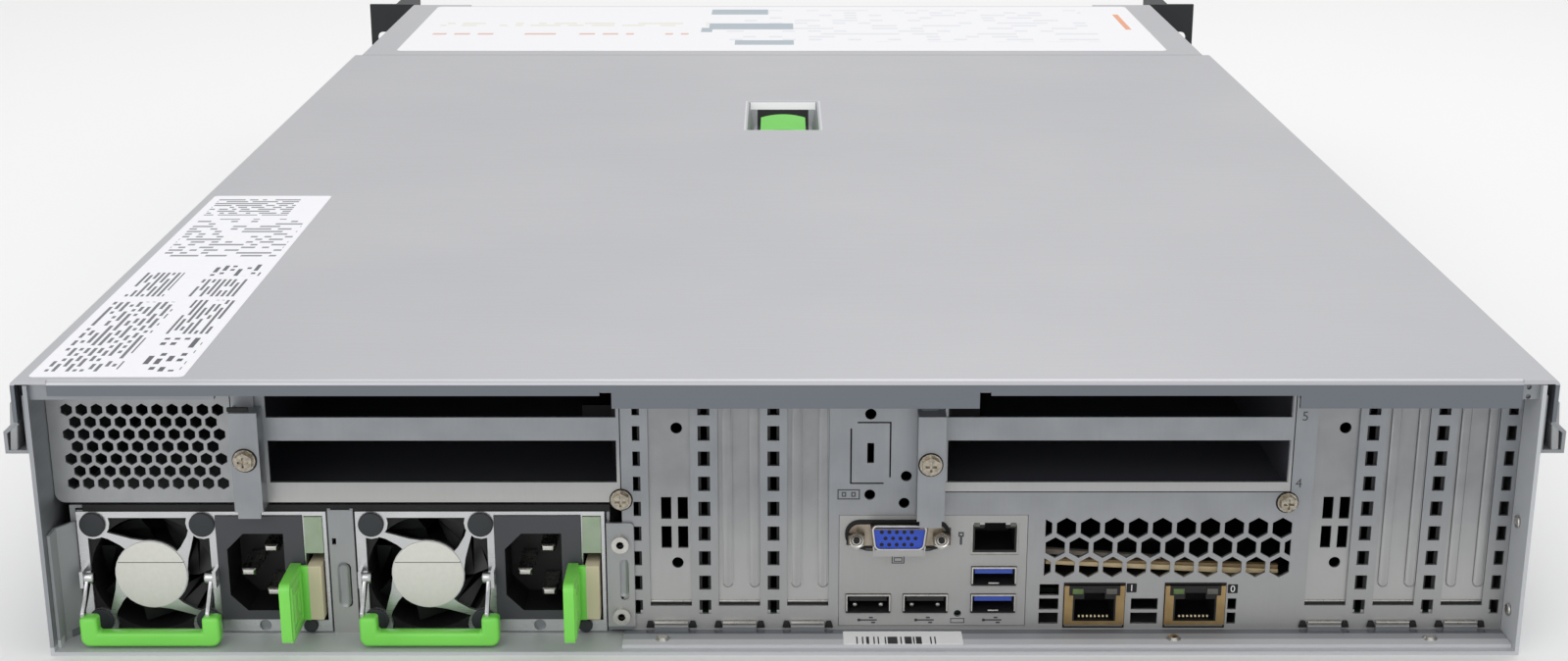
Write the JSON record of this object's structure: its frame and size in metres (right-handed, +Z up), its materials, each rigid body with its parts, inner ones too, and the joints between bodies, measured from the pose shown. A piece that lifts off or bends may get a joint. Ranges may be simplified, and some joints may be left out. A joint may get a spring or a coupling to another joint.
{
  "type": "2u rack server",
  "caption": "Low wide sheet-steel rack server with a sliding lid, hot-plug power supplies with green handles and front drive carriers.",
  "frame": {"origin": "middle of the flat underside, halfway between the rear edge of the tray and the back of the rack ears", "axes": "+X to the right seen from the rear, +Y from the rear to the front, +Z up"},
  "size_m": [0.4826, 0.7237, 0.085],
  "materials": {
    "zinc_sheet": "satin",
    "zinc_lid": "satin",
    "bright_steel": "polished",
    "aluminium_fins": "satin",
    "release_green": "gloss",
    "black_plastic": "matte",
    "dark_plastic": "satin",
    "slate_plastic": "satin",
    "pipe_plastic": "satin",
    "blue_plastic": "satin",
    "port_metal": "satin",
    "plated_steel": "polished",
    "board_laminate": "satin",
    "fascia_black": "satin"
  },
  "bodies": {
    "chassis": {"chassis_tray": "zinc_sheet", "rear_crossbar": "zinc_sheet", "side_rails": "bright_steel", "front_cover": "zinc_lid", "rear_panel": "zinc_sheet", "slot_blanks": "zinc_sheet", "honeycomb_panel": "zinc_sheet", "riser_brackets": "zinc_sheet", "riser_cage_left": "zinc_sheet", "riser_cage_right": "zinc_sheet", "riser_boards": "board_laminate", "panel_screws": "plated_steel", "rivets": "plated_steel", "io_shield": "zinc_sheet", "vga_shell": "plated_steel", "vga_insert": "blue_plastic", "usb_shells": "plated_steel", "usb_tongues": "black_plastic", "management_port": "port_metal", "lan_ports": "port_metal", "lan_board": "board_laminate", "psu_bay": "zinc_sheet", "system_board": "board_laminate", "heat_sinks": "aluminium_fins", "memory_modules": "board_laminate", "air_shroud": "black_plastic", "fan_wall": "black_plastic", "drive_cage": "fascia_black", "backplane": "board_laminate", "ear_left": "slate_plastic", "ear_right": "slate_plastic"},
    "lid": {"lid": "zinc_lid"},
    "lid_latch": {"lid_latch": "release_green"},
    "power_button": {"power_button": "dark_plastic"},
    "psu1": {"psu1_case": "zinc_sheet", "psu1_guard": "bright_steel", "psu1_inlet": "dark_plastic", "psu1_light_pipe": "pipe_plastic"},
    "psu1_handle": {"psu1_handle": "release_green"},
    "psu1_latch": {"psu1_latch": "release_green"},
    "psu1_rotor": {"psu1_rotor": "black_plastic"},
    "psu2": {"psu2_case": "zinc_sheet", "psu2_guard": "bright_steel", "psu2_inlet": "dark_plastic", "psu2_light_pipe": "pipe_plastic"},
    "psu2_handle": {"psu2_handle": "release_green"},
    "psu2_latch": {"psu2_latch": "release_green"},
    "psu2_rotor": {"psu2_rotor": "black_plastic"},
    "fan_rotor_1": {"fan_rotor_1": "black_plastic"},
    "fan_rotor_2": {"fan_rotor_2": "black_plastic"},
    "fan_rotor_3": {"fan_rotor_3": "black_plastic"},
    "fan_rotor_4": {"fan_rotor_4": "black_plastic"},
    "carrier_1": {"carrier_1": "fascia_black"},
    "carrier_lever_1": {"carrier_lever_1": "dark_plastic"},
    "carrier_2": {"carrier_2": "fascia_black"},
    "carrier_lever_2": {"carrier_lever_2": "dark_plastic"},
    "carrier_3": {"carrier_3": "fascia_black"},
    "carrier_lever_3": {"carrier_lever_3": "dark_plastic"},
    "carrier_4": {"carrier_4": "fascia_black"},
    "carrier_lever_4": {"carrier_lever_4": "dark_plastic"}
  },
  "joints": [
    {"name": "lid_slide", "type": "slide", "parent": "chassis", "child": "lid", "axis": [0, -1, 0], "range_m": [0, 0.018]},
    {"name": "lid_latch_hinge", "type": "hinge", "parent": "lid", "child": "lid_latch", "pos_m": [0, -0.004, 0.0778], "axis": [1, 0, 0], "range_deg": [0, 35], "stiffness_Nm_per_rad": 0.02, "springref_deg": -11.46},
    {"name": "power_button_press", "type": "slide", "parent": "chassis", "child": "power_button", "axis": [0, -1, 0], "range_m": [0, 0.0015], "stiffness_N_per_m": 600, "springref_m": -0.001},
    {"name": "psu1_slide", "type": "slide", "parent": "chassis", "child": "psu1", "axis": [0, -1, 0], "range_m": [0, 0.19]},
    {"name": "psu1_handle_hinge", "type": "hinge", "parent": "psu1", "child": "psu1_handle", "pos_m": [-0.1877, -0.3362, 0.02], "axis": [-1, 0, 0], "range_deg": [0, 60]},
    {"name": "psu1_latch_hinge", "type": "hinge", "parent": "psu1", "child": "psu1_latch", "pos_m": [-0.1389, -0.329, 0.015], "axis": [0, 0, -1], "range_deg": [0, 5], "stiffness_Nm_per_rad": 0.3, "springref_deg": -5.73},
    {"name": "psu1_rotor_spin", "type": "hinge", "parent": "psu1", "child": "psu1_rotor", "pos_m": [-0.1877, -0.3275, 0.0201], "axis": [0, 1, 0], "continuous": true},
    {"name": "psu2_slide", "type": "slide", "parent": "chassis", "child": "psu2", "axis": [0, -1, 0], "range_m": [0, 0.19]},
    {"name": "psu2_handle_hinge", "type": "hinge", "parent": "psu2", "child": "psu2_handle", "pos_m": [-0.1058, -0.3362, 0.02], "axis": [-1, 0, 0], "range_deg": [0, 60]},
    {"name": "psu2_latch_hinge", "type": "hinge", "parent": "psu2", "child": "psu2_latch", "pos_m": [-0.057, -0.329, 0.015], "axis": [0, 0, -1], "range_deg": [0, 5], "stiffness_Nm_per_rad": 0.3, "springref_deg": -5.73},
    {"name": "psu2_rotor_spin", "type": "hinge", "parent": "psu2", "child": "psu2_rotor", "pos_m": [-0.1058, -0.3275, 0.0201], "axis": [0, 1, 0], "continuous": true},
    {"name": "fan_rotor_1_spin", "type": "hinge", "parent": "chassis", "child": "fan_rotor_1", "pos_m": [-0.156, 0.1025, 0.0407], "axis": [0, 1, 0], "continuous": true},
    {"name": "fan_rotor_2_spin", "type": "hinge", "parent": "chassis", "child": "fan_rotor_2", "pos_m": [-0.052, 0.1025, 0.0407], "axis": [0, 1, 0], "continuous": true},
    {"name": "fan_rotor_3_spin", "type": "hinge", "parent": "chassis", "child": "fan_rotor_3", "pos_m": [0.052, 0.1025, 0.0407], "axis": [0, 1, 0], "continuous": true},
    {"name": "fan_rotor_4_spin", "type": "hinge", "parent": "chassis", "child": "fan_rotor_4", "pos_m": [0.156, 0.1025, 0.0407], "axis": [0, 1, 0], "continuous": true},
    {"name": "carrier_1_slide", "type": "slide", "parent": "chassis", "child": "carrier_1", "axis": [0, 1, 0], "range_m": [0, 0.16]},
    {"name": "carrier_lever_1_hinge", "type": "hinge", "parent": "carrier_1", "child": "carrier_lever_1", "pos_m": [-0.2012, 0.3521, 0.016], "axis": [0, 0, 1], "range_deg": [0, 50]},
    {"name": "carrier_2_slide", "type": "slide", "parent": "chassis", "child": "carrier_2", "axis": [0, 1, 0], "range_m": [0, 0.16]},
    {"name": "carrier_lever_2_hinge", "type": "hinge", "parent": "carrier_2", "child": "carrier_lever_2", "pos_m": [-0.0957, 0.3521, 0.016], "axis": [0, 0, 1], "range_deg": [0, 50]},
    {"name": "carrier_3_slide", "type": "slide", "parent": "chassis", "child": "carrier_3", "axis": [0, 1, 0], "range_m": [0, 0.16]},
    {"name": "carrier_lever_3_hinge", "type": "hinge", "parent": "carrier_3", "child": "carrier_lever_3", "pos_m": [0.0098, 0.3521, 0.016], "axis": [0, 0, 1], "range_deg": [0, 50]},
    {"name": "carrier_4_slide", "type": "slide", "parent": "chassis", "child": "carrier_4", "axis": [0, 1, 0], "range_m": [0, 0.16]},
    {"name": "carrier_lever_4_hinge", "type": "hinge", "parent": "carrier_4", "child": "carrier_lever_4", "pos_m": [0.1153, 0.3521, 0.016], "axis": [0, 0, 1], "range_deg": [0, 50]}
  ]
}
